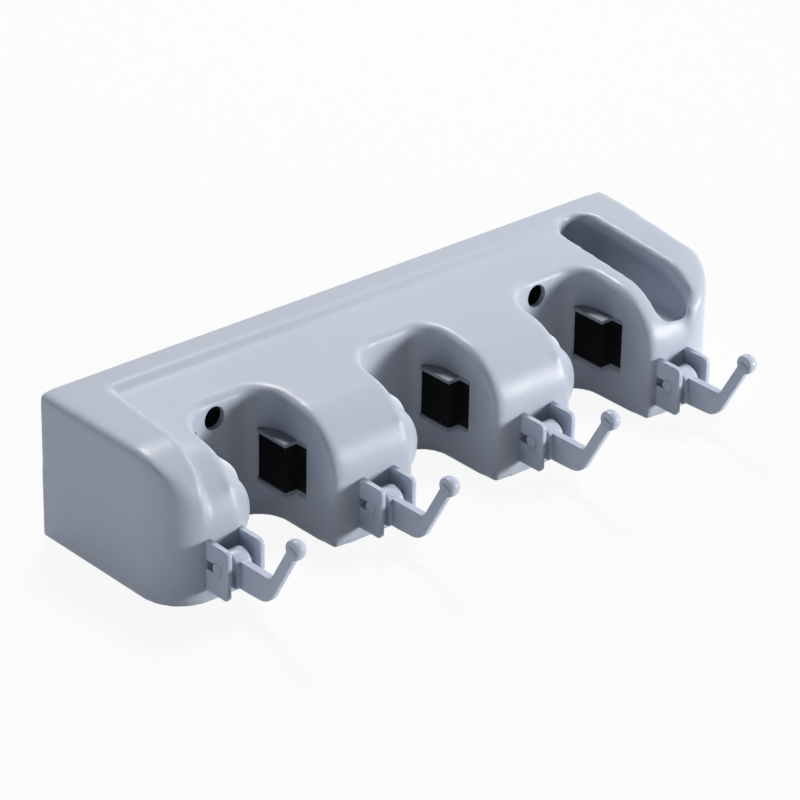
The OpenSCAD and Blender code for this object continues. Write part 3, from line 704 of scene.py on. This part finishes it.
def mouldedPlastic(name, finish):
    # moulded plastic: a slow change of tone, a fine grain, slight sink marks and rubbed patches
    look = looks[finish["look"]]
    mat = bpy.data.materials.new(name)
    mat.use_nodes = True
    tree = mat.node_tree
    shader = tree.nodes["Principled BSDF"]
    shader.location = (700, 0)
    shader.inputs["Specular IOR Level"].default_value = look["specular"]
    shader.inputs["IOR"].default_value = look["ior"]
    where = addNode(tree, "ShaderNodeTexCoord", (-900, 0))
    slow = addNoise(tree, where, (-650, 250), look["toneScale"], detail=3.0, roughness=0.55)
    rub = addNoise(tree, where, (-650, 0), look["rubScale"], detail=5.0, roughness=0.6)
    grain = addNoise(tree, where, (-650, -250), look["grainScale"], detail=2.0, roughness=0.5)
    sink = addNoise(tree, where, (-650, -500), look["sinkScale"], detail=1.0, roughness=0.4)
    share = addSpread(tree, (-350, 250), slow, span=(0.3, 0.7))
    gloss = addSpread(tree, (-350, 0), rub, span=(0.35, 0.7), result=finish["rough"])
    tone = addNode(tree, "ShaderNodeMix", (200, 250), data_type="RGBA")
    tone.inputs[6].default_value = finish["dark"] + (1,)
    tone.inputs[7].default_value = finish["light"] + (1,)
    wave = addNode(tree, "ShaderNodeBump", (-50, -450), Strength=look["sink"],
                   Distance=sinkDepth * mm)
    fine = addNode(tree, "ShaderNodeBump", (200, -250), Strength=look["grain"],
                   Distance=grainDepth * mm)
    tree.links.new(share.outputs["Result"], tone.inputs["Factor"])
    tree.links.new(tone.outputs[2], shader.inputs["Base Color"])
    tree.links.new(gloss.outputs["Result"], shader.inputs["Roughness"])
    tree.links.new(sink.outputs["Fac"], wave.inputs["Height"])
    tree.links.new(grain.outputs["Fac"], fine.inputs["Height"])
    tree.links.new(wave.outputs["Normal"], fine.inputs["Normal"])
    tree.links.new(fine.outputs["Normal"], shader.inputs["Normal"])
    return mat


def plainSteel(name):
    mat = bpy.data.materials.new(name)
    mat.use_nodes = True
    tree = mat.node_tree
    shader = tree.nodes["Principled BSDF"]
    shader.inputs["Metallic"].default_value = 1.0
    shader.inputs["Base Color"].default_value = steel["tint"] + (1,)
    where = addNode(tree, "ShaderNodeTexCoord", (-800, 0))
    streaks = addNoise(tree, where, (-550, 0), steel["streaks"], detail=3.0, roughness=0.5)
    gloss = addSpread(tree, (-300, 0), streaks, span=(0.0, 1.0), result=steel["rough"])
    tree.links.new(gloss.outputs["Result"], shader.inputs["Roughness"])
    return mat


def dress(piece, material):
    piece.data.materials.clear()
    piece.data.materials.append(material)


def finishPiece(piece, name, nodes, body, material):
    piece.name = name
    piece.data.name = name
    dress(piece, material)
    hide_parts(*nodes)
    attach(piece, body)


materials = {name: mouldedPlastic(name, finish) for name, finish in finishes.items()}
materials["zincSteel"] = plainSteel("zincSteel")
print("materials: done")

shellPiece = buildShell()
finishPiece(shellPiece, "housingShell", [f"housing_{i}" for i in (1, 2, 3, 4)], "rack",
            materials["shellGrey"])

firstHook = buildHook(hookPlaces[0])
firstBracket = buildBracket(hookPlaces[0])
for i, x in enumerate(hookPlaces, 1):
    arm = copyAlong(firstHook, "hookArm", x - hookPlaces[0])
    finishPiece(arm, f"foldHook{i}", [f"hook_{i}"], f"hook_body_{i}", materials["hookGrey"])
    ears = copyAlong(firstBracket, "bracket", x - hookPlaces[0])
    finishPiece(ears, f"hookEars{i}", [f"hook_bracket_{i}"], "rack",
                materials["hookGrey"])
bpy.data.objects.remove(firstHook)
bpy.data.objects.remove(firstBracket)
print("hooks: done")

firstTyre = buildTyre(stations[0])
firstPad = buildPad(stations[0])
for i, x in enumerate(stations, 1):
    tyre = copyAlong(firstTyre, "tyre", x - stations[0])
    finishPiece(tyre, f"softTyre{i}", [f"roller_tyre_{i}"], f"roller_{i}",
                materials["rollerGrey"])
    rubber = copyAlong(firstPad, "pad", x - stations[0])
    finishPiece(rubber, f"gripPad{i}", [f"friction_pad_{i}"], "rack", materials["padBlack"])
bpy.data.objects.remove(firstTyre)
bpy.data.objects.remove(firstPad)
print("rollers and pads: done")

# finishes for the solids that stay as they are, by their names without a number
nodeFinish = {
    "back_plate": "innerGrey", "roller_track": "innerGrey", "pad_frame": "innerGrey",
    "roller_core": "rollerGrey", "hook_pin": "hookGrey",
    "roller_axle": "zincSteel", "back_plate_screws": "zincSteel", "foot_screws": "zincSteel",
}
for name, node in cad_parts.items():
    plainName = name.rstrip("_0123456789")
    if plainName in nodeFinish:
        dress(node, materials[nodeFinish[plainName]])
print("solids: dressed")

# floor, world, lamps and camera, in metres and watts
studio = {
    "floor": -0.0436, "floorSize": 6, "floorTone": (0.55, 0.55, 0.56), "floorRough": 0.8,
    "floorGlow": 0.92, "world": 0.025, "worldTone": (0.93, 0.96, 1.0), "aim": (0, -0.04, 0),
}
lamps = {
    "key": {"place": (1.0, -1.05, 0.17), "size": 0.3, "watts": 22.5, "tint": (1, 1, 1)},
    "top": {"place": (0.35, 0.5, 1.15), "size": 0.25, "watts": 17, "tint": (1, 1, 1)},
    "side": {"place": (-1.2, -0.2, 0.0), "size": 0.5, "watts": 5.7, "tint": (0.85, 0.92, 1.0)},
}
view = {
    "azimuth": -41.54, "elevation": 27.70, "roll": 1.08, "lens": 173.6, "sensor": 36,
    "place": (-0.7991, -0.9463, 0.6192),
}


def mixWhite(tree, own, white, out, share=1.0):
    # own lights the rack; white is what the camera and glossy or clear surfaces see, by the share
    ray = addNode(tree, "ShaderNodeLightPath", (-600, 300))
    first = addNode(tree, "ShaderNodeMath", (-350, 300), operation="MAXIMUM")
    second = addNode(tree, "ShaderNodeMath", (-100, 300), operation="MAXIMUM")
    part = addNode(tree, "ShaderNodeMath", (100, 300), operation="MULTIPLY")
    both = addNode(tree, "ShaderNodeMixShader", (300, 0))
    part.inputs[1].default_value = share
    tree.links.new(ray.outputs["Is Camera Ray"], first.inputs[0])
    tree.links.new(ray.outputs["Is Glossy Ray"], first.inputs[1])
    tree.links.new(first.outputs["Value"], second.inputs[0])
    tree.links.new(ray.outputs["Is Transmission Ray"], second.inputs[1])
    tree.links.new(second.outputs["Value"], part.inputs[0])
    tree.links.new(part.outputs["Value"], both.inputs["Fac"])
    tree.links.new(own, both.inputs[1])
    tree.links.new(white, both.inputs[2])
    tree.links.new(both.outputs["Shader"], out.inputs["Surface"])


clearSelection()
bpy.ops.mesh.primitive_plane_add(size=studio["floorSize"], location=(0, 0, studio["floor"]))
floor = bpy.context.object
floor.name = "studioFloor"
paleFloor = bpy.data.materials.new("paleFloor")
paleFloor.use_nodes = True
floorTree = paleFloor.node_tree
floorShader = floorTree.nodes["Principled BSDF"]
floorShader.inputs["Base Color"].default_value = studio["floorTone"] + (1,)
floorShader.inputs["Roughness"].default_value = studio["floorRough"]
glow = addNode(floorTree, "ShaderNodeEmission", (0, -400), Color=(1, 1, 1, 1), Strength=1.0)
floorOut = floorTree.nodes["Material Output"]
mixWhite(floorTree, floorShader.outputs["BSDF"], glow.outputs["Emission"], floorOut,
         studio["floorGlow"])
dress(floor, paleFloor)

world = bpy.data.worlds.new("studio")
bpy.context.scene.world = world
world.use_nodes = True
worldTree = world.node_tree
worldTree.nodes.clear()
dim = addNode(worldTree, "ShaderNodeBackground", (0, 0), Strength=studio["world"])
dim.inputs["Color"].default_value = studio["worldTone"] + (1,)
white = addNode(worldTree, "ShaderNodeBackground", (0, -200), Color=(1, 1, 1, 1), Strength=1.0)
worldOut = addNode(worldTree, "ShaderNodeOutputWorld", (500, 0))
mixWhite(worldTree, dim.outputs["Background"], white.outputs["Background"], worldOut)

for name, light in lamps.items():
    clearSelection()
    bpy.ops.object.light_add(type="AREA", location=light["place"])
    lamp = bpy.context.object
    lamp.name = name + "Lamp"
    lamp.data.size = light["size"]
    lamp.data.energy = light["watts"]
    lamp.data.color = light["tint"]
    aim = Vector(studio["aim"]) - Vector(light["place"])
    lamp.rotation_euler = aim.to_track_quat("-Z", "Y").to_euler()
print("studio: done")

azimuth, elevation, roll = (math.radians(view[key]) for key in ("azimuth", "elevation", "roll"))
level = math.cos(elevation)
back = Vector((math.sin(azimuth) * level, -math.cos(azimuth) * level, math.sin(elevation)))
right = Vector((math.cos(azimuth), math.sin(azimuth), 0))
up = back.cross(right)
right, up = (right * math.cos(roll) + up * math.sin(roll),
             up * math.cos(roll) - right * math.sin(roll))
clearSelection()
bpy.ops.object.camera_add(location=view["place"])
camera = bpy.context.object
camera.name = "photoCamera"
camera.data.lens = view["lens"]
camera.data.sensor_width = view["sensor"]
camera.rotation_euler = Matrix((right, up, back)).transposed().to_euler()
bpy.context.scene.camera = camera
bpy.context.scene.view_settings.view_transform = "Standard"

print("scene: done")
